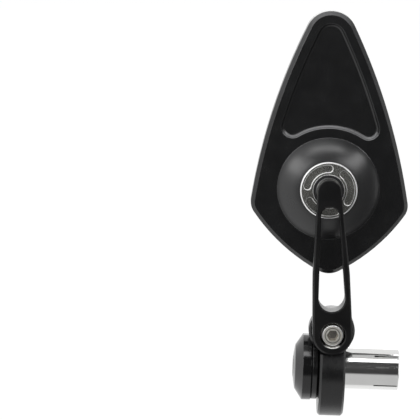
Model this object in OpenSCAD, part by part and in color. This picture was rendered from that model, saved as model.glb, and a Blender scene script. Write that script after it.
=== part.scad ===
// Bar end mirror: a billet head on a ball, carried by a slotted arm that folds on a collar
// at the end of the handlebar. The bar's axis is X and the rider looks at the +Y side.

/* [Head] */
// Width of the head at its two lower corners
head_w = 76.2; // [72:0.2:84]
// Height of the tip above the ball's centre
head_up = 86; // [78:0.2:95]
// Depth of the foot below the ball's centre
head_down = 41.9; // [38:0.1:44]
// Radius of the tip
tip_r = 12.5; // [10:0.1:15]
// Radius of the two lower corners
corner_r = 8.5; // [6:0.1:11]
// Drop of the corners below the ball's centre
corner_drop = 7.7; // [4:0.1:11]
// Radius of the foot
foot_r = 10.5; // [7:0.1:12]
// Drop of the inboard corner for each millimetre from the middle
head_skew = 0.02; // [0:0.005:0.03]
// Distance of the head's middle line from the ball, towards the bar
head_shift = 0.6; // [0:0.1:1]
// Radius of the two long bowed sides
side_r = 300; // [220:5:600]
// Radius of the two short lower sides
lower_r = 90; // [75:1:200]
// Thickness of the head at its edge
plate_t = 10; // [9:0.1:12]
// Width of the bevel round the front edge
edge_bevel = 1.8; // [0.8:0.1:2.6]
// Width of the bevel round the rear rim
rim_bevel = 0.6; // [0.3:0.1:0.8]
// Lean of the head towards its outboard side
head_lean = 1.4; // [0:0.1:3]

/* [Pocket] */
// Distance of the pocket from the head's edge
pocket_inset = 6.1; // [5.4:0.1:7.5]
// Flat land between the hub dome and the pocket
pocket_land = 4.8; // [3.5:0.1:7]
// Radius of the pocket's two lower lobes
lobe_r = 5.2; // [4:0.1:6]
// Depth of the pocket
pocket_depth = 2; // [1.2:0.1:2.6]
// Radius left by the ball-nosed cutter along the pocket's floor
pocket_fillet = 1.5; // [0.6:0.1:1.6]
// Chamfer along the pocket's upper edge
pocket_chamfer = 0.3; // [0.1:0.05:0.4]

/* [Hub and ball] */
// Radius of the hub dome at its base
dome_r = 24.8; // [23:0.1:28]
// Radius of the dome's bulge in section
dome_bulge_r = 17; // [15:0.5:30]
// Radius of the ring nut's flange
ring_r = 13.8; // [13.6:0.1:16]
// Thickness of the ring nut's flange
ring_flange_t = 2.2; // [1.8:0.1:2.6]
// Height of the ring nut's face above the dome
ring_proud = 0.8; // [0.4:0.1:1.2]
// Height of the ring nut's face above the ball's centre
ring_ahead = 4.2; // [4:0.1:4.8]
// Radius of the ring nut's threaded body
ring_body_r = 12; // [11.2:0.1:13]
// Reach of the ring nut's body behind the ball's centre
ring_behind = 0.8; // [0.4:0.1:1.6]
// Radius of the ball
ball_r = 7; // [6.6:0.05:7.2]
// Thickness of the two liner shells round the ball
liner_t = 1.45; // [1.2:0.05:1.7]
// Gap between the two liner shells
liner_gap = 0.3; // [0.2:0.1:1]
// Height of the front liner's lip above the ball's centre
liner_lip = 3.5; // [3:0.1:3.8]
// Web between the ball's socket and the glass recess
socket_web = 0.95; // [0.8:0.05:2]
// Radius of the ball's neck
neck_r = 3.2; // [2.6:0.1:3.4]
// Length of the neck from the ball's centre to the arm
neck_len = 9.5; // [9.3:0.1:12]
// Radius of the stud's collar on the arm
stud_collar_r = 6; // [4:0.1:6.4]
// Thickness of the stud's collar
stud_collar_t = 1.1; // [0.6:0.1:1.4]
// Radius of the stud's threaded end
stud_r = 3; // [2.5:0.1:3.2]
// Length of the stud's threaded end
stud_len = 5.4; // [4:0.1:6]

/* [Ring nut slots] */
// Number of kidney slots
kidney_count = 3; // [2:1:4]
// Radius of the middle of the kidney slots
kidney_mid_r = 10.6; // [10.5:0.05:10.9]
// Width of a kidney slot
kidney_w = 3.3; // [2.4:0.1:3.5]
// Depth of a kidney slot
kidney_depth = 1.3; // [0.8:0.1:1.4]
// Angle from end to end of a kidney slot's middle line
kidney_span = 79; // [50:1:88]
// Turn of the first kidney slot
kidney_turn = 9; // [-30:0.5:30]
// Chamfer round a kidney slot
kidney_chamfer = 0.35; // [0.1:0.05:0.4]

/* [Glass] */
// Thickness of the mirror glass
glass_t = 2; // [1.8:0.1:2.4]
// Width of the rim round the glass
glass_rim = 1.8; // [1.4:0.1:2.4]
// Depth of the glass below the rim
glass_set = 0.4; // [0.2:0.1:0.6]
// Thickness of the adhesive pad
pad_t = 0.8; // [0.5:0.1:1]
// Distance of the pad's edge inside the glass's edge
pad_margin = 4; // [3:0.5:10]

/* [Arm] */
// Distance from the pivot to the ball's axis
arm_len = 68.8; // [66:0.1:76]
// Lean of the arm towards its outboard side
arm_lean = 3.4; // [0:0.1:6]
// Radius of the arm's lower end
arm_root_r = 9.6; // [9.4:0.1:10.2]
// Radius of the arm where its sides bow
arm_bow_r = 8.9; // [8.4:0.1:9.2]
// Distance of the bow from the pivot
arm_bow_at = 30; // [25:1:38]
// Radius of the arm's upper end
arm_tip_r = 5.6; // [5.2:0.1:6.4]
// Distance of the upper end's centre past the ball's axis
arm_tip_past = 1.2; // [0:0.1:2]
// Thickness of the arm at the pivot
arm_root_t = 11.5; // [11:0.1:11.6]
// Thickness of the arm at the ball
arm_tip_t = 7.5; // [7.2:0.1:8]
// Start of the arm's thickening, from the pivot
ramp_top = 36; // [30:1:42]
// End of the arm's thickening, from the pivot
ramp_end = 15; // [12:1:20]
// Chamfer round the arm's faces
arm_chamfer = 0.8; // [0.3:0.1:1.2]
// Chamfer at the arm's upper end
arm_tip_chamfer = 0.3; // [0.2:0.1:0.8]
// Distance of the slot's lower circle from the pivot
slot_low_at = 18; // [17:0.5:20]
// Radius of the slot's lower end
slot_low_r = 6.4; // [5.4:0.1:6.6]
// Distance of the slot's upper circle from the pivot
slot_high_at = 58.3; // [52:0.5:58.5]
// Radius of the slot's upper end
slot_high_r = 4.3; // [3.4:0.1:4.6]
// Chamfer along the slot's front edge
slot_chamfer = 0.5; // [0.2:0.1:0.8]

/* [Pivot] */
// Height of the pivot above the bar's axis
pivot_z = 20.2; // [20:0.1:23]
// Distance of the pivot from the handlebar's end
pivot_in = 7.1; // [6:0.1:8]
// Radius of the pivot screw's shank
screw_r = 3; // [2.5:0.1:3.2]
// Radius of the pivot screw's head
screw_head_r = 5; // [4.6:0.1:5.2]
// Height of the pivot screw's head
screw_head_h = 5.2; // [4:0.1:5.6]
// Width of the hexagon socket across its flats
hex_socket_af = 5; // [4:0.1:5]
// Depth of the hexagon socket
hex_socket_depth = 2.8; // [2:0.1:3.4]
// Depth of the screw head's face below the arm's face
screw_set = 0.5; // [0.2:0.1:1]
// Radius of the counterbore in the arm
counterbore_r = 6.1; // [5.9:0.1:6.6]
// Radius of the bush's tube
bush_r = 4.4; // [4:0.1:4.8]
// Thickness of the bush's flange
bush_flange_t = 0.8; // [0.6:0.1:1.2]
// Radius of the bush's flange and of the spring washer
bush_flange_r = 5.6; // [5.2:0.1:5.8]
// Thickness of the spring washer
spring_washer_t = 0.8; // [0.6:0.1:1]
// Radius of the friction washer
friction_washer_r = 9; // [8:0.1:9.4]
// Thickness of the friction washer
friction_washer_t = 0.5; // [0.4:0.1:0.6]
// Radius of the pivot barrel
barrel_r = 11.2; // [10.4:0.1:12]
// Length of the pivot barrel
barrel_len = 9.5; // [8:0.5:12]
// Chamfer round the barrel's ends
barrel_chamfer = 1; // [0.4:0.1:1.4]
// Metal left behind the screw's hole in the barrel
screw_floor = 1.2; // [1:0.1:2]

/* [Collar and bar end] */
// Radius of the collar
collar_r = 23.6; // [23:0.1:25]
// Width of the collar
collar_w = 12.5; // [12:0.5:16]
// Chamfer round the collar's edges
collar_chamfer = 1; // [0.4:0.1:2]
// Radius of the handlebar that meets the collar
bar_r = 12.7; // [11:0.1:13.5]
// Height of the turned seat that the handlebar's end meets
bar_seat_h = 0.2; // [0.2:0.1:1]
// Distance of the arm's face in front of the collar
arm_proud = 0.4; // [0.4:0.1:2]
// Radius of the end cap
cap_r = 16.2; // [15.4:0.1:16.4]
// Width of the end cap at its rim
cap_w = 4.8; // [4:0.1:7]
// Width of the cap's outer chamfer along the bar
cap_chamfer_w = 3.6; // [2:0.1:4]
// Height of the cap's outer chamfer across the bar
cap_chamfer_h = 5.4; // [4:0.1:6]
// Height of the cap's dome
cap_dome_h = 1.2; // [0.4:0.1:1.6]
// Small chamfer on the cap's inner edge
cap_back_chamfer = 0.7; // [0.3:0.1:1]
// Radius of the spacer ring
spacer_r = 15.8; // [14:0.1:15.9]
// Width of the spacer ring
spacer_w = 3.2; // [2.4:0.1:5]
// Chamfer on the spacer ring's inner edge
spacer_chamfer = 1; // [0.4:0.1:1.6]
// Radius of the bar end bolt
bolt_r = 3; // [2.5:0.1:3.5]
// Radius of the bolt's head
bolt_head_r = 5; // [4.8:0.1:5.4]
// Height of the bolt's head
bolt_head_h = 4.4; // [3.8:0.1:4.6]
// Thickness of the bolt's washer
bolt_washer_t = 1; // [0.8:0.1:1.2]
// Floor of the cap under the bolt's washer
cap_floor = 2.8; // [2:0.1:3.4]

/* [Expanding sleeve] */
// Radius of the sleeve
sleeve_r = 10.2; // [10:0.1:11]
// Length of the sleeve past the collar
sleeve_len = 26.4; // [24:0.2:34]
// Radius of the sleeve's bore
sleeve_bore_r = 7.4; // [6.8:0.1:7.6]
// Radius of the sleeve's bore at its mouth
sleeve_mouth_r = 9; // [8.6:0.1:9.2]
// Length of the tapered mouth
mouth_len = 10; // [8:0.5:12]
// Depth of the sleeve's recess in the collar
recess_len = 4; // [3:0.1:6]
// Width of the groove round the sleeve at the collar's face
groove_w = 0.6; // [0.4:0.1:1]
// Depth of the groove round the sleeve
groove_d = 0.3; // [0.2:0.1:0.5]
// Number of saw slits in the sleeve
slit_count = 4; // [3:1:6]
// Width of a saw slit
slit_w = 0.9; // [0.6:0.1:1.4]
// Length of a saw slit
slit_len = 12; // [8:0.5:16]
// Turn of the slits round the bar's axis
slit_turn = 43; // [0:1:90]
// Chamfer at the sleeve's end
sleeve_chamfer = 0.3; // [0.1:0.1:0.5]

/* [Hidden] */
$fn = 96;
blend_fn = 40;

// Named clearances
run_gap = 0.05;
fit_gap = 0.1;
part_gap = 0.4;
glass_gap = 0.25;
past = 1;
// Chamfer at the end of a thread
thread_end = 0.5;

// Planes along Y, from the collar's front to the glass
arm_front = -(collar_r + arm_proud);
arm_back = arm_front + arm_root_t;
barrel_front = arm_back + friction_washer_t;
barrel_back = barrel_front + barrel_len;
arm_tip_back = arm_front + arm_tip_t;
ball_y = arm_tip_back + neck_len;
counterbore_floor = arm_front + screw_set + screw_head_h + spring_washer_t + bush_flange_t;
screw_seat = arm_front + screw_set + screw_head_h;
screw_hole_end = barrel_back - screw_floor;

// Planes of the head along Y, counted from the ball's centre
socket_r = ball_r + liner_t + 2 * run_gap;
backing = glass_set + glass_t + pad_t;
recess_floor = socket_r + socket_web;
plate_back = recess_floor + backing;
plate_front = plate_back - plate_t;
dome_top = -(ring_ahead - ring_proud);
flange_back = ring_flange_t - ring_ahead;
dome_h = plate_front - dome_top;

// Places in the XZ plane
pivot_x = -pivot_in;
pivot_at = [pivot_x, 0, pivot_z];
ball_at = [pivot_x - arm_len * sin(arm_lean), ball_y, pivot_z + arm_len * cos(arm_lean)];

// Planes of the bar end along X
collar_out = -collar_w;
collar_face = -bar_seat_h;
spacer_out = collar_out - spacer_w;
cap_rim_out = spacer_out - cap_w;
cap_out = cap_rim_out - cap_chamfer_w;
washer_seat = spacer_out - cap_floor;
bolt_seat = washer_seat - bolt_washer_t;
cone_start = sleeve_len - mouth_len;

// Points of an arc about c, from angle a to angle b
function arc(c, r, a, b, n) = [for (i = [0:n]) c + r * [cos(a + (b - a) * i / n), sin(a + (b - a) * i / n)]];
// Angle of a direction
function dir(v) = atan2(v.y, v.x);
// The point left of p to q that lies rp from p and rq from q
function meet(p, rp, q, rq) =
    let (d = norm(q - p), u = (q - p) / d, a = (rp * rp - rq * rq + d * d) / (2 * d), h = sqrt(rp * rp - a * a))
    p + a * u + h * [-u.y, u.x];
// Leaves out a point that lies on the next one
function distinct(run) =
    [for (i = [0:len(run) - 1]) if (norm(run[i] - run[(i + 1) % len(run)]) > 0.001) run[i]];
// Mirrors a run of points and turns its order round
function flipped(run) = [for (i = [len(run) - 1:-1:0]) [-run[i].x, run[i].y]];

// Circles that the head's outline is made of
tip_c = [0, head_up - tip_r];
corner_c = [head_w / 2 - corner_r, -corner_drop];
foot_c = [0, foot_r - head_down];
side_c = meet(corner_c, side_r - corner_r, tip_c, side_r - tip_r);
lower_c = meet(foot_c, lower_r - foot_r, corner_c, lower_r - corner_r);

// The right half of the head's outline, drawn in by d
function head_half(d) = concat(
    arc(foot_c, foot_r - d, -90, dir(foot_c - lower_c), 7),
    arc(lower_c, lower_r - d, dir(foot_c - lower_c), dir(corner_c - lower_c), 10),
    arc(corner_c, corner_r - d, dir(corner_c - lower_c), dir(corner_c - side_c), 12),
    arc(side_c, side_r - d, dir(corner_c - side_c), dir(tip_c - side_c), 16),
    arc(tip_c, tip_r - d, dir(tip_c - side_c), 90, 12));
// Sets a run of points to the head's middle line, with its inboard side dropped
function placed(run) = [for (p = run) [p.x + head_shift, p.y - head_skew * p.x]];
function head_outline(d) = placed(distinct(concat(head_half(d), flipped(head_half(d)))));

// The pocket: two bowed sides, a round top, two lobes and an arc round the hub
hub_arc_r = dome_r + pocket_land;
lobe_c = meet(side_c, side_r - pocket_inset - lobe_r, [0, 0], hub_arc_r + lobe_r);
function pocket_half(d) = concat(
    arc(lobe_c, lobe_r - d, dir(lobe_c) - 180, dir(lobe_c - side_c), 12),
    arc(side_c, side_r - pocket_inset - d, dir(lobe_c - side_c), dir(tip_c - side_c), 8),
    arc(tip_c, tip_r - pocket_inset - d, dir(tip_c - side_c), 90, 6));
function pocket_outline(d) = placed(distinct(concat(
    pocket_half(d), flipped(pocket_half(d)),
    arc([0, 0], hub_arc_r + d, 180 - dir(lobe_c), dir(lobe_c), 20))));

// Closed skin through rings of [inset, y], from the front one to the rear one
module skin(rings, outline_points) {
    n = len(outline_points[0]);
    points = [for (k = [0:len(rings) - 1]) for (p = outline_points[k]) [p.x, rings[k][1], p.y]];
    walls = [for (k = [0:len(rings) - 2]) for (i = [0:n - 1])
        [k * n + i, k * n + (i + 1) % n, (k + 1) * n + (i + 1) % n, (k + 1) * n + i]];
    front = [[for (i = [n - 1:-1:0]) i]];
    rear = [[for (i = [0:n - 1]) (len(rings) - 1) * n + i]];
    polyhedron(points = points, faces = concat(walls, front, rear), convexity = 4);
}

// Frames and simple shapes
module at_pivot() { translate(pivot_at) rotate([0, -arm_lean, 0]) children(); }
module at_ball() { translate(ball_at) rotate([0, -head_lean, 0]) children(); }
// Slab of a profile drawn in X and Z
module slab(y0, y1) { translate([0, y1, 0]) rotate([90, 0, 0]) linear_extrude(y1 - y0) children(); }
// Rod along Y at a place along the arm
module rod_y(r, y0, y1, at = 0) { translate([0, y1, at]) rotate([90, 0, 0]) cylinder(r = r, h = y1 - y0); }
// Hexagon bar along Y
module hex_y(af, y0, y1) {
    translate([0, y1, 0]) rotate([90, 0, 0]) cylinder(d = af / cos(30), h = y1 - y0, $fn = 6);
}
// Body turned about Y from points [radius, y]
module turned_y(points) { rotate([-90, 0, 0]) rotate_extrude() polygon(points); }
// Body turned about X from points [radius, x]
module turned_x(points) { rotate([0, 90, 0]) rotate_extrude() polygon(points); }
// Rod along X
module rod_x(r, x0, x1) { translate([x0, 0, 0]) rotate([0, 90, 0]) cylinder(r = r, h = x1 - x0); }

// Head, in the frame of the ball
module head_plate() {
    rings = [[edge_bevel, plate_front], [0, plate_front + edge_bevel], [0, plate_back - rim_bevel],
             [rim_bevel, plate_back]];
    skin(rings, [for (ring = rings) head_outline(ring[0])]);
}

module pocket_cut() {
    steps = 5;
    fillet_top = plate_front + pocket_depth - pocket_fillet;
    rings = concat(
        [[-pocket_chamfer, plate_front - past], [-pocket_chamfer, plate_front], [0, plate_front + pocket_chamfer]],
        [for (i = [0:steps]) [pocket_fillet * (1 - cos(90 * i / steps)),
                              fillet_top + pocket_fillet * sin(90 * i / steps)]]);
    skin(rings, [for (ring = rings) pocket_outline(ring[0])]);
}

module hub_dome() {
    inner = [ring_r + fit_gap, dome_top];
    outer = [dome_r, plate_front];
    bulge_c = meet(inner, dome_bulge_r, outer, dome_bulge_r);
    turned_y(concat([[0, plate_front + past], [0, dome_top]],
        arc(bulge_c, dome_bulge_r, dir(inner - bulge_c), dir(outer - bulge_c), 12),
        [[dome_r, plate_front + past]]));
}

module mirror_head() {
    color("#1c1c1e") at_ball() difference() {
        union() {
            head_plate();
            hub_dome();
        }
        pocket_cut();
        sphere(r = socket_r);
        rod_y(ring_body_r + fit_gap, dome_top - past, ring_behind);
        rod_y(ring_r + fit_gap, dome_top - past, flange_back);
        slab(recess_floor, plate_back + past) polygon(head_outline(glass_rim));
    }
}

module mirror_glass() {
    color("#c9d3d8") at_ball() slab(recess_floor + pad_t, recess_floor + pad_t + glass_t)
        polygon(head_outline(glass_rim + glass_gap));
}

module adhesive_pad() {
    color("#303030") at_ball() slab(recess_floor, recess_floor + pad_t)
        polygon(head_outline(glass_rim + glass_gap + pad_margin));
}

// Half section of a kidney slot, from its middle line outwards, with y at the face
function kidney_edge(side) = [
    [0, past], [side * (kidney_w / 2 + kidney_chamfer), past], [side * (kidney_w / 2 + kidney_chamfer), 0],
    [side * kidney_w / 2, -kidney_chamfer], [side * kidney_w / 2, -kidney_depth], [0, -kidney_depth]];

// Kidney slot drawn on the top of a disc, along an arc with round ends
module kidney() {
    rotate([0, 0, -kidney_span / 2]) rotate_extrude(angle = kidney_span) translate([kidney_mid_r, 0])
        polygon([for (p = concat(kidney_edge(1), [for (i = [4:-1:1]) kidney_edge(-1)[i]])) p]);
    for (turn = [-kidney_span / 2, kidney_span / 2])
        rotate([0, 0, turn]) translate([kidney_mid_r, 0, 0]) rotate_extrude() polygon(kidney_edge(1));
}

module ring_nut() {
    face = -ring_ahead;
    edge_chamfer = 0.6;
    lip_chamfer = 0.3;
    lip_r = sqrt(socket_r * socket_r - ring_ahead * ring_ahead);
    color("#4a4a46") at_ball() difference() {
        turned_y([[0, face], [ring_r - edge_chamfer, face], [ring_r, face + edge_chamfer], [ring_r, flange_back],
                  [ring_body_r, flange_back], [ring_body_r, ring_behind], [0, ring_behind]]);
        sphere(r = socket_r);
        rod_y(socket_r, 0, ring_behind + past);
        turned_y([[0, face - past], [lip_r + lip_chamfer + past, face - past], [lip_r + lip_chamfer, face],
                  [lip_r - lip_chamfer, face + 2 * lip_chamfer], [0, face + 2 * lip_chamfer]]);
        translate([0, face, 0]) rotate([90, 0, 0])
            for (i = [0:kidney_count - 1]) rotate([0, 0, kidney_turn + i * 360 / kidney_count]) kidney();
    }
}

// Liner shell between two planes, in the frame of the ball
module liner(y0, y1) {
    at_ball() intersection() {
        difference() {
            sphere(r = ball_r + run_gap + liner_t);
            sphere(r = ball_r + run_gap);
        }
        rod_y(2 * ball_r, y0, y1);
    }
}
module seat_front() { color("#202020") liner(-liner_lip, -liner_gap / 2); }
module seat_rear() { color("#202020") liner(liner_gap / 2, 2 * ball_r); }

module ball_stud() {
    neck_top = -sqrt(ball_r * ball_r - neck_r * neck_r);
    stud_end = -neck_len - stud_len;
    collar_slope = (stud_collar_r - neck_r) / 3;
    color("silver") translate(ball_at) rotate([0, -arm_lean, 0]) {
        sphere(r = ball_r);
        turned_y([[0, stud_end], [stud_r - thread_end, stud_end], [stud_r, stud_end + thread_end],
                  [stud_r, -neck_len], [stud_collar_r, -neck_len], [stud_collar_r, stud_collar_t - neck_len],
                  [neck_r, stud_collar_t - neck_len + collar_slope], [neck_r, neck_top],
                  [0, neck_top + past]]);
    }
}

// Arm, in the frame of the pivot with the arm standing up along Z
arm_stations = [[0, arm_root_r, arm_chamfer], [arm_bow_at, arm_bow_r, arm_chamfer],
                [arm_len + arm_tip_past, arm_tip_r, arm_tip_chamfer]];
ramp_steps = 12;
function ramp_t(u) = arm_tip_t + (arm_root_t - arm_tip_t) * (1 - cos(180 * u)) / 2;

module arm_side_profile() {
    low = -arm_root_r - past;
    high = arm_len + arm_tip_past + arm_tip_r + past;
    ramp = [for (i = [0:ramp_steps]) [arm_front + ramp_t(i / ramp_steps),
                                      ramp_top + (ramp_end - ramp_top) * i / ramp_steps]];
    rotate([90, 0, 90]) linear_extrude(3 * arm_root_r, center = true)
        polygon(concat([[arm_front - past, low], [arm_front - past, high], [arm_tip_back, high]], ramp,
                       [[arm_back, low]]));
}

module arm_outline_body() {
    hull() for (st = arm_stations) {
        rod_y(st[1] - st[2], arm_front, arm_back, st[0], $fn = blend_fn);
        rod_y(st[1], arm_front + st[2], arm_back - st[2], st[0], $fn = blend_fn);
    }
}

module arm_slot() {
    hull() {
        rod_y(slot_low_r, arm_front - past, arm_back + past, slot_low_at, $fn = blend_fn);
        rod_y(slot_high_r, arm_front - past, arm_back + past, slot_high_at, $fn = blend_fn);
    }
    hull() for (end = [[slot_low_at, slot_low_r], [slot_high_at, slot_high_r]]) {
        rod_y(end[1] + slot_chamfer, arm_front - past, arm_front, end[0], $fn = blend_fn);
        rod_y(end[1], arm_front - past, arm_front + slot_chamfer, end[0], $fn = blend_fn);
    }
}

module arm() {
    mouth_chamfer = 0.4;
    color("#1a1a1c") at_pivot() difference() {
        intersection() {
            arm_outline_body();
            arm_side_profile();
        }
        arm_slot();
        rod_y(counterbore_r, arm_front - past, counterbore_floor);
        turned_y([[0, arm_front - past], [counterbore_r + mouth_chamfer + past, arm_front - past],
                  [counterbore_r, arm_front + mouth_chamfer], [0, arm_front + mouth_chamfer]]);
        rod_y(bush_r + fit_gap, arm_front, arm_back + past);
        rod_y(stud_r + fit_gap, arm_tip_back - stud_len - part_gap, arm_back + past, arm_len);
    }
}

module pivot_bush() {
    color("#8a6a3a") at_pivot() difference() {
        union() {
            rod_y(bush_flange_r, counterbore_floor - bush_flange_t, counterbore_floor);
            rod_y(bush_r, counterbore_floor - bush_flange_t, arm_back);
        }
        rod_y(screw_r + run_gap, arm_front, arm_back + past);
    }
}

module pivot_screw() {
    head_chamfer = 0.4;
    head_front = arm_front + screw_set;
    tip = screw_hole_end - part_gap;
    color("silver") translate(pivot_at) difference() {
        turned_y([[0, head_front], [screw_head_r - head_chamfer, head_front],
                  [screw_head_r, head_front + head_chamfer], [screw_head_r, screw_seat], [screw_r, screw_seat],
                  [screw_r, tip - thread_end], [screw_r - thread_end, tip], [0, tip]]);
        hex_y(hex_socket_af, head_front - past, head_front + hex_socket_depth);
    }
}

module spring_washer() {
    color("gray") translate(pivot_at) difference() {
        rod_y(bush_flange_r, screw_seat, screw_seat + spring_washer_t);
        rod_y(screw_r + fit_gap, arm_front, arm_back);
    }
}

module friction_washer() {
    color("ivory") translate(pivot_at) difference() {
        rod_y(friction_washer_r, arm_back, barrel_front);
        rod_y(screw_r + fit_gap, arm_back - past, barrel_front + past);
    }
}

// Collar about the bar's axis, with the pivot barrel, relieved round the cap and the handlebar's end
module collar_and_barrel() {
    difference() {
        union() {
            turned_x([[0, collar_out], [collar_r - collar_chamfer, collar_out], [collar_r, collar_out + collar_chamfer],
                      [collar_r, collar_face - collar_chamfer], [collar_r - collar_chamfer, collar_face],
                      [0, collar_face]]);
            translate(pivot_at) turned_y([[0, barrel_front], [barrel_r - barrel_chamfer, barrel_front],
                [barrel_r, barrel_front + barrel_chamfer], [barrel_r, barrel_back - barrel_chamfer],
                [barrel_r - barrel_chamfer, barrel_back], [0, barrel_back]]);
        }
        rod_x(cap_r + part_gap, collar_out - 2 * barrel_r, collar_out);
        rod_x(bar_r + part_gap, collar_face, 2 * barrel_r);
    }
}

// Collar with the seat that the handlebar's end meets, room for the arm's round end,
// and the threaded hole of the pivot screw
module bracket() {
    sweep_r = arm_root_r + part_gap;
    color("#1c1c1e") difference() {
        union() {
            collar_and_barrel();
            rod_x(bar_r, collar_face - past, 0);
        }
        translate(pivot_at) {
            rod_y(sweep_r, arm_front - past, barrel_front);
            translate([-2 * collar_w, arm_front - past, -sweep_r])
                cube([2 * collar_w, barrel_front - arm_front + past, 2 * sweep_r]);
            rod_y(screw_r + run_gap, barrel_front - past, screw_hole_end);
        }
        rod_x(bolt_r + fit_gap, collar_out - past, past);
        rod_x(sleeve_r + run_gap, -recess_len, past);
    }
}

// End cap, with its dome, broad chamfer and the bolt's counterbore
module end_cap() {
    dome_edge_r = cap_r - cap_chamfer_h;
    dome_big_r = (dome_edge_r * dome_edge_r + cap_dome_h * cap_dome_h) / (2 * cap_dome_h);
    dome_c = [0, cap_out - cap_dome_h + dome_big_r];
    half_angle = asin(dome_edge_r / dome_big_r);
    color("#1c1c1e") difference() {
        turned_x(concat(arc(dome_c, dome_big_r, -90, -90 + half_angle, 8),
            [[cap_r, cap_rim_out], [cap_r, spacer_out - cap_back_chamfer], [cap_r - cap_back_chamfer, spacer_out],
             [0, spacer_out]]));
        rod_x(bolt_r + fit_gap, cap_out - cap_dome_h - past, spacer_out + past);
        rod_x(bolt_head_r + part_gap, cap_out - cap_dome_h - past, washer_seat);
    }
}

module spacer_ring() {
    color("#202022") difference() {
        turned_x([[0, spacer_out], [spacer_r, spacer_out], [spacer_r, collar_out - spacer_chamfer],
                  [spacer_r - spacer_chamfer, collar_out], [0, collar_out]]);
        rod_x(bolt_r + fit_gap, spacer_out - past, collar_out + past);
    }
}

module expander_bolt() {
    head_out = bolt_seat - bolt_head_h;
    head_chamfer = 0.6;
    socket_depth = 2.4;
    socket_af = 4;
    tip_inset = 1.5;
    tip = sleeve_len - tip_inset;
    color("silver") difference() {
        turned_x([[0, head_out], [bolt_head_r - head_chamfer, head_out], [bolt_head_r, head_out + head_chamfer],
                  [bolt_head_r, bolt_seat], [bolt_r, bolt_seat], [bolt_r, tip - thread_end],
                  [bolt_r - thread_end, tip], [0, tip]]);
        translate([head_out - past, 0, 0]) rotate([0, 90, 0])
            cylinder(d = socket_af / cos(30), h = socket_depth + past, $fn = 6);
    }
}

module bolt_washer() {
    color("silver") difference() {
        rod_x(bolt_head_r, bolt_seat, washer_seat);
        rod_x(bolt_r + fit_gap, bolt_seat - past, washer_seat + past);
    }
}

// Sleeve that goes into the handlebar, slit from its inboard end
module expander_sleeve() {
    color("silver") difference() {
        turned_x([[0, -recess_len], [sleeve_r - sleeve_chamfer, -recess_len],
                  [sleeve_r, -recess_len + sleeve_chamfer], [sleeve_r, -groove_w], [sleeve_r - groove_d, -groove_w],
                  [sleeve_r - groove_d, 0], [sleeve_r, 0], [sleeve_r, sleeve_len - sleeve_chamfer],
                  [sleeve_r - sleeve_chamfer, sleeve_len], [0, sleeve_len]]);
        rod_x(bolt_r + fit_gap, -recess_len - past, sleeve_len);
        turned_x([[0, 0], [sleeve_bore_r, 0], [sleeve_bore_r, cone_start], [sleeve_mouth_r, sleeve_len],
                  [sleeve_mouth_r, sleeve_len + past], [0, sleeve_len + past]]);
        for (i = [0:slit_count - 1]) rotate([slit_turn + i * 360 / slit_count, 0, 0])
            translate([sleeve_len - slit_len, -slit_w / 2, 0]) cube([slit_len + past, slit_w, sleeve_r + past]);
    }
}

// Cone that the bolt draws into the sleeve's mouth
module cone_nut() {
    cone_gap = 0.08;
    cone_back = sleeve_len - 0.5;
    slope = (sleeve_mouth_r - sleeve_bore_r) / mouth_len;
    color("gray") difference() {
        turned_x([[0, cone_start], [sleeve_bore_r - cone_gap, cone_start],
                  [sleeve_bore_r - cone_gap + slope * (cone_back - cone_start), cone_back], [0, cone_back]]);
        rod_x(bolt_r + run_gap, cone_start - past, sleeve_len + past);
    }
}

mirror_head();
mirror_glass();
adhesive_pad();
ring_nut();
seat_front();
seat_rear();
ball_stud();
arm();
pivot_bush();
pivot_screw();
spring_washer();
friction_washer();
bracket();
end_cap();
spacer_ring();
expander_bolt();
bolt_washer();
expander_sleeve();
cone_nut();
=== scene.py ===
from math import cos, pi, radians, sin

import bpy
from mathutils import Euler, Matrix, Vector


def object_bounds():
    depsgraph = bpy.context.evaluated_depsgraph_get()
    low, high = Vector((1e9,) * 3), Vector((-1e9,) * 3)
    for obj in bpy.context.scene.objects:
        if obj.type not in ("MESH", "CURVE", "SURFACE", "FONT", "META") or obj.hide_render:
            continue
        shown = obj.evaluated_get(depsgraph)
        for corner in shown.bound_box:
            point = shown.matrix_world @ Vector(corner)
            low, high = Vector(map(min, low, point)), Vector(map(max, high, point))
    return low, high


# The bar end mirror's own pieces get procedural finishes, and a light tent, soft panels and a camera are
# set round them as in the photograph. No geometry is added but the floor.

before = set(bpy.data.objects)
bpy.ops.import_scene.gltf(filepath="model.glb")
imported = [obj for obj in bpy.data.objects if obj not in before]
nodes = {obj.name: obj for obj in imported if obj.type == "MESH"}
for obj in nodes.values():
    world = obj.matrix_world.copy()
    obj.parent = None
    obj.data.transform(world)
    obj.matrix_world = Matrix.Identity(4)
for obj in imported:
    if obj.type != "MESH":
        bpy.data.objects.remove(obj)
CAD_BOX = [list(corner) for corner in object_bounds()]
scene = bpy.context.scene
scene.view_settings.view_transform = "Standard"

# The camera that took the square photograph: millimetres for its sensor and lens, metres for its place,
# degrees for its tilt and roll
SENSOR = 36.0
LENS = 262.4
CAMERA_AT = (-0.06813, -1.47141, 0.30099)
CAMERA_DOWN = 8.7
CAMERA_ROLL = 1.9
CLIP = (0.05, 20)

# Centre of the ball joint, the radius of the turned dome about it, the strength of its turning, and how
# far past the dome's edge the foot of the pocket reaches
BALL = (-0.01118, -0.0070, 0.08888)
DOME = 0.02475
TURNING = 0.3
POCKET_FOOT = 0.0112

# A painted highlight starts on faces that look this far up, of 1, and is strongest on those that look
# further.
# It lies only on faces that look forward, to this share along Y.
SHEEN_SLOPES = (0.15, 0.6)
SHEEN_FRONT = -0.25

# Middle of the arm's front face at the pivot screw, the two radii of its counterbore's rim, on whose lower
# part a highlight is painted, and the heights from the screw's axis between which the painted highlight
# fades out
PIVOT = (-0.0071, -0.024, 0.0202)
HIGHLIGHT_RIM_RADII = (0.0059, 0.0063)
HIGHLIGHT_RIM_BELOW = (-0.0057, -0.0048)
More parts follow.
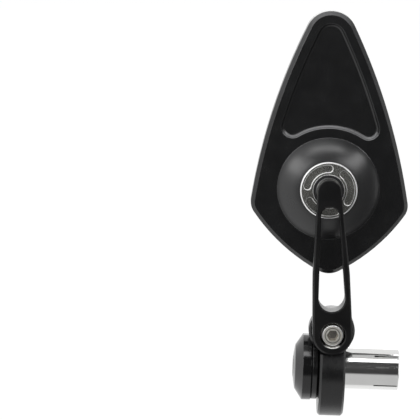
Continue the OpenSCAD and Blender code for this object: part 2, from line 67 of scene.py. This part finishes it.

# The screw's hexagon socket: its radius, where its mouth and floor lie along Y, between which shade is
# painted darker toward the floor, and how far out the painted dark line of shade round the mouth starts
# and ends
SOCKET_R = 0.00295
SOCKET_MOUTH = -0.0223
SOCKET_FLOOR = -0.0208
SOCKET_LINE = (0.0004, 0.0008)

# Noise scales: the blasted and machined grain, the texture of plastic, and the broad clouds of handling
BLASTED = 5200
MACHINED = 3000
MOULDED = 1500
BLACK_CLOUD = 90
METAL_CLOUD = 140
GLASS_SMEAR = 35

# How deep the blasted grain and the machining lines are, and how far each of them changes the roughness
GRAIN_DEPTH = 0.00002
LINE_DEPTH = 0.00001
GRAIN_ROUGH = 0.03
LINE_ROUGH = 0.04

# What the turning, the cut chamfers and the depth of the screw's socket, where shade is painted, add to
# the roughness
TURNED_ROUGH = 0.08
CUT_ROUGH = 0.2
SOCKET_DEPTH_ROUGH = -0.15

# An edge is fully worn, with a painted highlight, where its rounded and flat normals agree less than the
# first of these, and not at all where they agree more than the second
EDGE_LIKENESS = (0.75, 0.97)

# Squares of how far a face looks along Y, of 1: chamfers lie between these two, and the broad faces of the
# glass are over this one
CUT_SLOPES = (0.1, 0.95)
BROAD_SLOPE = 0.8

BLACK = (0.0048, 0.0049, 0.0052)
TURNED_BLACK = (0.009, 0.0092, 0.0098)
ARM_BLACK = (0.0022, 0.0022, 0.0024)
SHEEN_AND_WEAR_GREY = (0.2, 0.2, 0.205)
RIM_HIGHLIGHT_GREY = (0.8, 0.8, 0.78)
SOCKET_SHADE_GREY = (0.52, 0.49, 0.44)
MOUTH_SHADE_GREY = (0.16, 0.155, 0.145)
GLASS_EDGE = (0.03, 0.10, 0.07)
SILVER = (0.86, 0.88, 0.88)
WASHER_STEEL = (0.55, 0.54, 0.52)
LINER_BLACK = (0.015, 0.015, 0.016)


# ---- Camera

def make_camera():
    data = bpy.data.cameras.new("camera")
    data.sensor_width = SENSOR
    data.lens = LENS
    data.clip_start, data.clip_end = CLIP
    camera = bpy.data.objects.new("camera", data)
    tilt = Euler((radians(90 - CAMERA_DOWN), 0, 0)).to_matrix()
    roll = Matrix.Rotation(radians(CAMERA_ROLL), 3, "Z")
    camera.matrix_world = Matrix.Translation(CAMERA_AT) @ (tilt @ roll).to_4x4()
    scene.collection.objects.link(camera)
    scene.camera = camera


# ---- Node trees

class Nodes:
    """A node tree under construction, with a few shorthands"""

    def __init__(self, tree):
        self.tree = tree

    @staticmethod
    def values(node, sockets):
        """Sets the node's sockets by name, where _ stands for a space"""
        for name, value in sockets.items():
            node.inputs[name.replace("_", " ")].default_value = value

    def add(self, kind, settings=None, **sockets):
        node = self.tree.nodes.new("ShaderNode" + kind)
        for name, value in (settings or {}).items():
            setattr(node, name, value)
        self.values(node, sockets)
        return node

    def link(self, out, into):
        self.tree.links.new(out, into)

    def feed(self, socket, value):
        """Links an output into the socket, or sets the socket to a constant"""
        if isinstance(value, bpy.types.NodeSocket):
            self.link(value, socket)
        else:
            socket.default_value = value

    def math(self, operation, a, b):
        node = self.add("Math", {"operation": operation})
        self.feed(node.inputs[0], a)
        self.feed(node.inputs[1], b)
        return node.outputs[0]

    def plus(self, a, b):
        return self.math("ADD", a, b)

    def times(self, a, b):
        return self.math("MULTIPLY", a, b)

    def larger(self, a, b):
        return self.math("MAXIMUM", a, b)

    def above(self, value, limit):
        """1 where the value is over the limit, and 0 elsewhere"""
        return self.math("GREATER_THAN", value, limit)

    def below(self, value, limit):
        """1 where the value is under the limit, and 0 elsewhere"""
        return self.math("LESS_THAN", value, limit)

    def between(self, value, low, high):
        """1 where the value lies between the two limits, and 0 elsewhere"""
        return self.times(self.above(value, low), self.below(value, high))

    def vector(self, operation, a, b=None, result="Vector"):
        node = self.add("VectorMath", {"operation": operation})
        self.feed(node.inputs[0], a)
        if b is not None:
            self.feed(node.inputs[1], b)
        return node.outputs[result]

    def axes(self, vector):
        """The vector's three parts, as outputs named X, Y and Z"""
        split = self.add("SeparateXYZ")
        self.link(vector, split.inputs[0])
        return split.outputs

    def spread(self, value, low, high, from_low=0.3, from_high=0.7, kind="LINEAR"):
        """The value, taken from one range to another"""
        spread = self.add("MapRange", {"interpolation_type": kind},
                          From_Min=from_low, From_Max=from_high, To_Min=low, To_Max=high)
        self.link(value, spread.inputs["Value"])
        return spread.outputs["Result"]

    def mix_shaders(self, share, first, second):
        """The first shader where the share is 0, and the second where it is 1"""
        mix = self.add("MixShader")
        self.link(share, mix.inputs["Fac"])
        self.link(first.outputs[0], mix.inputs[1])
        self.link(second.outputs[0], mix.inputs[2])
        return mix.outputs[0]


class Material(Nodes):
    """A new material's node tree, with its principled shader"""

    def __init__(self, name, **sockets):
        self.material = bpy.data.materials.new(name)
        self.material.use_nodes = True
        super().__init__(self.material.node_tree)
        self.shader = self.tree.nodes["Principled BSDF"]
        self.values(self.shader, sockets)

    def place(self):
        """The point in the object's own frame, in metres"""
        return self.add("TexCoord").outputs["Object"]

    def facing(self):
        """The way the surface looks in the object's own frame, as outputs named X, Y and Z"""
        return self.axes(self.add("TexCoord").outputs["Normal"])

    def noise(self, scale, detail=3.0, stretch=None):
        noise = self.add("TexNoise", Scale=scale, Detail=detail, Roughness=0.55)
        at = self.place()
        if stretch:
            mapping = self.add("Mapping", Scale=stretch)
            self.link(at, mapping.inputs["Vector"])
            at = mapping.outputs["Vector"]
        self.link(at, noise.inputs["Vector"])
        return noise.outputs["Fac"]

    def blend(self, mask, a, b):
        """Colour a where the mask is 0, and b where it is 1"""
        mix = self.add("Mix", {"data_type": "RGBA"})
        self.link(mask, mix.inputs["Factor"])
        for socket, colour in ((mix.inputs[6], a), (mix.inputs[7], b)):
            self.feed(socket, (*colour, 1) if isinstance(colour, tuple) else colour)
        return mix.outputs[2]

    def edge_wear_and_sheen(self, radius):
        """1 along sharp edges and 0 on open faces, where wear and a painted highlight go. The edges'
        rounded normal is kept as self.eased.
        """
        self.eased = self.add("Bevel", {"samples": 6}, Radius=radius).outputs["Normal"]
        plain = self.add("NewGeometry").outputs["Normal"]
        likeness = self.vector("DOT_PRODUCT", self.eased, plain, "Value")
        return self.spread(likeness, 1.0, 0.0, *EDGE_LIKENESS)

    def bump(self, height, distance, strength, after=None):
        bump = self.add("Bump", Distance=distance, Strength=strength)
        self.link(height, bump.inputs["Height"])
        if after:
            self.link(after, bump.inputs["Normal"])
        return bump.outputs["Normal"]

    def done(self, base, roughness, normal=None):
        """Links what was made into the shader, and gives the material"""
        self.link(base, self.shader.inputs["Base Color"])
        self.link(roughness, self.shader.inputs["Roughness"])
        if normal:
            self.link(normal, self.shader.inputs["Normal"])
        return self.material


# ---- Materials

def shade(colour, factor):
    return tuple(channel * factor for channel in colour)


def from_axis(m, centre):
    """The vector from the axis through centre along Y, at right angles to it"""
    return m.vector("MULTIPLY", m.vector("SUBTRACT", m.place(), centre), (1, 0, 1))


def radius_from(m, centre):
    """The distance from the axis through centre along Y"""
    return m.vector("LENGTH", from_axis(m, centre), result="Value")


def turned(m, centre, reach):
    """Lathe-turned finish about an axis along Y: the highlights spread across the turning. Gives 1 inside
    the turned dome and 0 outside it."""
    inside = m.below(radius_from(m, centre), reach)
    m.link(from_axis(m, centre), m.shader.inputs["Tangent"])
    m.link(m.times(inside, TURNING), m.shader.inputs["Anisotropic"])
    return inside


def upward_sheen(m, centre, reach, amount):
    """Painted highlight on what slopes upward in front, outside the dome, and strongest at the pocket's
    foot round it
    """
    facing = m.facing()
    away = radius_from(m, centre)
    foot = m.spread(m.between(away, reach, reach + POCKET_FOOT), 0.5, 1.0, 0, 1)
    upward = m.spread(facing["Z"], 0.0, amount, *SHEEN_SLOPES)
    outside = m.times(m.below(facing["Y"], SHEEN_FRONT), m.above(away, reach))
    return m.times(m.times(upward, foot), outside)


def rim_highlight(m, centre):
    """Painted highlight on the lower rim of the screw's counterbore, where its edge faces the light from
    above
    """
    lower = m.spread(m.axes(from_axis(m, centre))["Z"], 1.0, 0.0, *HIGHLIGHT_RIM_BELOW)
    return m.times(lower, m.between(radius_from(m, centre), *HIGHLIGHT_RIM_RADII))


def black_anodised(name, colour=BLACK, rough=(0.20, 0.26), specular=0.6, edge=0.0004, wear_and_sheen=0.18, sheen=0.0,
                   dome=None, highlit_rim=None):
    """Hard black anodising over fine blasted aluminium. dome is the centre and radius of a turned dome,
    sheen the amount of painted highlight on upward faces about it, and highlit_rim the centre of a
    counterbore with a painted highlight on its lower rim."""
    m = Material(name, Specular_IOR_Level=specular, Metallic=0.0)
    grain = m.noise(BLASTED, 4)
    cloud = m.noise(BLACK_CLOUD)
    wear_and_sheen_mask = m.edge_wear_and_sheen(edge)
    base = m.blend(cloud, colour, shade(colour, 1.25))
    roughness = m.plus(m.spread(grain, -GRAIN_ROUGH, GRAIN_ROUGH), m.spread(cloud, *rough))
    if dome:
        inside = turned(m, *dome)
        base = m.blend(inside, base, TURNED_BLACK)
        roughness = m.plus(roughness, m.times(inside, TURNED_ROUGH))
        m.link(m.spread(inside, specular, specular * 1.25, 0, 1), m.shader.inputs["Specular IOR Level"])
        if sheen:
            # painted highlight on faces that slope upward in front, outside the turned dome
            wear_and_sheen_mask = m.larger(wear_and_sheen_mask, upward_sheen(m, *dome, sheen))
    # sharp edges get wear with a painted highlight, in a grey that also carries the painted highlight on
    # upward faces
    base = m.blend(m.times(wear_and_sheen_mask, wear_and_sheen), base, SHEEN_AND_WEAR_GREY)
    # painted highlight on the lower rim of the counterbore
    if highlit_rim:
        base = m.blend(rim_highlight(m, highlit_rim), base, RIM_HIGHLIGHT_GREY)
    return m.done(base, roughness, m.bump(grain, GRAIN_DEPTH, 0.35, m.eased))


def metal(name, colour, rough=(0.2, 0.3), stretch=None, chamfers=None, socket=None):
    """Bare or plated metal with fine machining marks. chamfers is the grey of cut edges, and socket the
    centre of a screw's socket, which gets painted shade toward its floor and a painted dark line of shade
    round its mouth."""
    m = Material(name, Metallic=1.0)
    lines = m.noise(MACHINED, 4, stretch)
    cloud = m.noise(METAL_CLOUD)
    base = m.blend(cloud, shade(colour, 0.9), colour)
    roughness = m.plus(m.spread(lines, -LINE_ROUGH, LINE_ROUGH), m.spread(cloud, *rough))
    if chamfers:
        # the chamfers face neither straight ahead nor sideways
        ahead = m.facing()["Y"]
        cut = m.between(m.times(ahead, ahead), *CUT_SLOPES)
        base = m.blend(cut, base, (chamfers,) * 3)
        roughness = m.plus(roughness, m.times(cut, CUT_ROUGH))
    if socket:
        away = radius_from(m, socket)
        # painted shade, darker toward the socket's floor
        depth = m.spread(m.axes(m.place())["Y"], 0.0, 1.0, SOCKET_MOUTH, SOCKET_FLOOR)
        socket_shade = m.times(depth, m.below(away, SOCKET_R))
        base = m.blend(socket_shade, base, SOCKET_SHADE_GREY)
        # painted dark line of shade round the socket's mouth
        base = m.blend(m.between(away, *(SOCKET_R + out for out in SOCKET_LINE)), base, MOUTH_SHADE_GREY)
        roughness = m.plus(roughness, m.times(socket_shade, SOCKET_DEPTH_ROUGH))
    return m.done(base, roughness, m.bump(lines, LINE_DEPTH, 0.25))


def plastic(name, colour, rough=(0.35, 0.5), grain=MOULDED, bump=0.3):
    """Moulded plastic or foam with a fine texture"""
    m = Material(name, Specular_IOR_Level=0.45)
    texture = m.noise(grain, 4)
    base = m.blend(texture, shade(colour, 0.8), shade(colour, 1.15))
    return m.done(base, m.spread(texture, *rough), m.bump(texture, GRAIN_DEPTH, bump))


def mirror_glass():
    """Silvered float glass: the two broad faces mirror, and the cut edge is green glass"""
    m = Material("mirror_glass")
    ahead = m.facing()["Y"]
    broad = m.above(m.times(ahead, ahead), BROAD_SLOPE)
    m.link(broad, m.shader.inputs["Metallic"])
    return m.done(m.blend(broad, GLASS_EDGE, SILVER), m.spread(m.noise(GLASS_SMEAR), 0.01, 0.035))


MATERIALS = {
    "mirror_head": black_anodised("head_black", wear_and_sheen=0.4, sheen=2.0, dome=(BALL, DOME)),
    "arm": black_anodised("arm_black", ARM_BLACK, (0.30, 0.40), specular=0.28, wear_and_sheen=0.28, highlit_rim=PIVOT),
    "bracket": black_anodised("bracket_black", rough=(0.24, 0.3), specular=0.55, edge=0.0001),
    "end_cap": black_anodised("cap_black", rough=(0.10, 0.15)),
    "spacer_ring": black_anodised("ring_black", rough=(0.14, 0.2)),
    "mirror_glass": mirror_glass(),
    "adhesive_pad": plastic("pad", (0.012, 0.012, 0.012), (0.8, 0.95), grain=900, bump=0.8),
    "ring_nut": metal("ring_metal", (0.47, 0.47, 0.44), (0.24, 0.27), chamfers=0.95),
    "seat_front": plastic("liner", LINER_BLACK),
    "seat_rear": plastic("liner_rear", LINER_BLACK),
    "ball_stud": metal("stud_steel", (0.72, 0.72, 0.70), (0.12, 0.2), chamfers=0.95),
    "pivot_bush": metal("bush_bronze", (0.42, 0.26, 0.12), (0.35, 0.45)),
    "pivot_screw": metal("screw_steel", (0.80, 0.78, 0.72), (0.34, 0.42), chamfers=0.9, socket=PIVOT),
    "expander_bolt": metal("bolt_steel", (0.62, 0.61, 0.58), (0.25, 0.35)),
    "spring_washer": metal("washer_steel", WASHER_STEEL, (0.3, 0.4)),
    "bolt_washer": metal("washer_steel_b", WASHER_STEEL, (0.3, 0.4)),
    "friction_washer": plastic("washer_plastic", (0.45, 0.44, 0.40)),
    "expander_sleeve": metal("sleeve_bright", (0.80, 0.80, 0.79), (0.09, 0.13), stretch=(0.06, 1, 1)),
    "cone_nut": metal("cone_steel", (0.55, 0.55, 0.56), (0.3, 0.4)),
}


# ---- Studio

# The dark opening: the angles from its middle where its soft edge starts and ends, its rise and its grey
OPENING = (29, 41)
OPENING_RISE = 14
OPENING_GREY = 0.09
TENT_LEVEL = 0.9

# The tent's brightness on the left and on the right, and how far to the right, of 1, it starts and stops
# changing
SIDES = (1.0, 0.2)
SIDES_FROM = (-0.4, 0.7)

# How far back, of 1, the soft edge of the white backdrop starts and ends
BACKDROP = (0.05, 0.25)

# The mirror is held by its sleeve, and the floor lies this far below it, clear of the head at every pose.
# It is cut straight at FLOOR_FRONT along Y.
FLOOR_DROP = 0.04
FLOOR_FRONT = 0.02
FLOOR_REACH = 6.0
FLOOR_SIDES = 48
FLOOR_GREY = (0.5, 0.5, 0.5, 1)
FLOOR_GLOW = 1.06
FLOOR_GLOW_SHARE = 0.93

WHITE = (1, 1, 1, 1)

# Panels: angle from the camera's side, clock, distance, length, width and level, as softbox takes them
PANELS = {
    "softbox_top": (53, 11.9, 1.15, 0.36, 1.0, 3.2),
    "softbox_left": (45, 9.95, 1.2, 1.35, 0.42, 3.0),
    "softbox_right": (47, 1.65, 1.2, 1.5, 0.28, 4.2),
    "softbox_over": (97, 12, 1.05, 0.10, 0.7, 2.0),
    "softbox_side": (92, 3, 1.2, 0.25, 0.8, 0.7),
    "softbox_back": (165, 12, 1.25, 0.4, 1.4, 1.3),
}


def softbox(name, off_axis, clock, distance, length, width, level):
    """A panel that faces the ball. off_axis is its angle from the camera's side, clock its place on a
    clock face as the camera sees it, length its size along the line from the camera's side outward, and
    level its brightness."""
    a, b = radians(off_axis), radians(clock * 30)
    out = Vector((sin(a) * sin(b), -cos(a), sin(a) * cos(b)))
    along = Vector((cos(a) * sin(b), sin(a), cos(a) * cos(b)))
    data = bpy.data.lights.new(name, "AREA")
    data.shape = "RECTANGLE"
    data.size, data.size_y = width, length
    data.energy = level * pi * length * width
    light = bpy.data.objects.new(name, data)
    turn = Matrix((along.cross(out), along, out)).transposed()
    light.matrix_world = Matrix.Translation(Vector(BALL) + distance * out) @ turn.to_4x4()
    scene.collection.objects.link(light)


def make_world():
    """A white light tent, apart from the dark opening in front and the shaded right side"""
    world = bpy.data.worlds.new("studio")
    scene.world = world
    world.use_nodes = True
    w = Nodes(world.node_tree)
    w.tree.nodes.clear()
    path = w.add("LightPath").outputs
    sky = w.add("TexCoord").outputs["Generated"]

    def toward(direction, low, high, from_low, from_high):
        """How far the sky lies in this direction, taken from one range to another"""
        return w.spread(w.vector("DOT_PRODUCT", sky, direction, "Value"), low, high, from_low, from_high,
                        "SMOOTHSTEP")

    inner, outer = (cos(radians(angle)) for angle in OPENING)
    rise = radians(OPENING_RISE)
    opening = toward((0, -cos(rise), sin(rise)), 1.0, OPENING_GREY, outer, inner)
    tent = w.add("Background", Strength=TENT_LEVEL)
    w.link(w.times(opening, toward((1, 0, 0), *SIDES, *SIDES_FROM)), tent.inputs["Color"])
    # metal and glass show the backdrop behind the object as the camera does
    bent = w.larger(path["Is Glossy Ray"], path["Is Transmission Ray"])
    behind = toward((0, 1, 0), 0.0, 1.0, *BACKDROP)
    seen = w.larger(path["Is Camera Ray"], w.times(bent, behind))
    white = w.add("Background", Color=WHITE, Strength=1.0)
    w.link(w.mix_shaders(seen, tent, white), w.add("OutputWorld").inputs["Surface"])


def make_floor(z):
    """A half-round floor, cut straight in front, that the camera and shiny surfaces see as white"""
    mesh = bpy.data.meshes.new("floor")
    turns = [pi * i / FLOOR_SIDES for i in range(FLOOR_SIDES + 1)]
    points = [(FLOOR_REACH * cos(turn), FLOOR_FRONT + FLOOR_REACH * sin(turn), z) for turn in turns]
    mesh.from_pydata(points, [], [list(range(len(points)))])
    floor = bpy.data.objects.new("floor", mesh)
    scene.collection.objects.link(floor)
    m = Material("floor_white", Base_Color=FLOOR_GREY, Roughness=0.9, Specular_IOR_Level=0.1)
    path = m.add("LightPath").outputs
    seen = m.larger(m.larger(path["Is Camera Ray"], path["Is Glossy Ray"]), path["Is Transmission Ray"])
    glow = m.add("Emission", Color=WHITE, Strength=FLOOR_GLOW)
    surface = m.mix_shaders(m.times(seen, FLOOR_GLOW_SHARE), m.shader, glow)
    m.link(surface, m.tree.nodes["Material Output"].inputs["Surface"])
    mesh.materials.append(m.material)


make_camera()
make_world()
make_floor(CAD_BOX[0][2] - FLOOR_DROP)
for name, panel in PANELS.items():
    softbox(name, *panel)

for name, material in MATERIALS.items():
    for slot in nodes[name].material_slots:
        slot.material = material
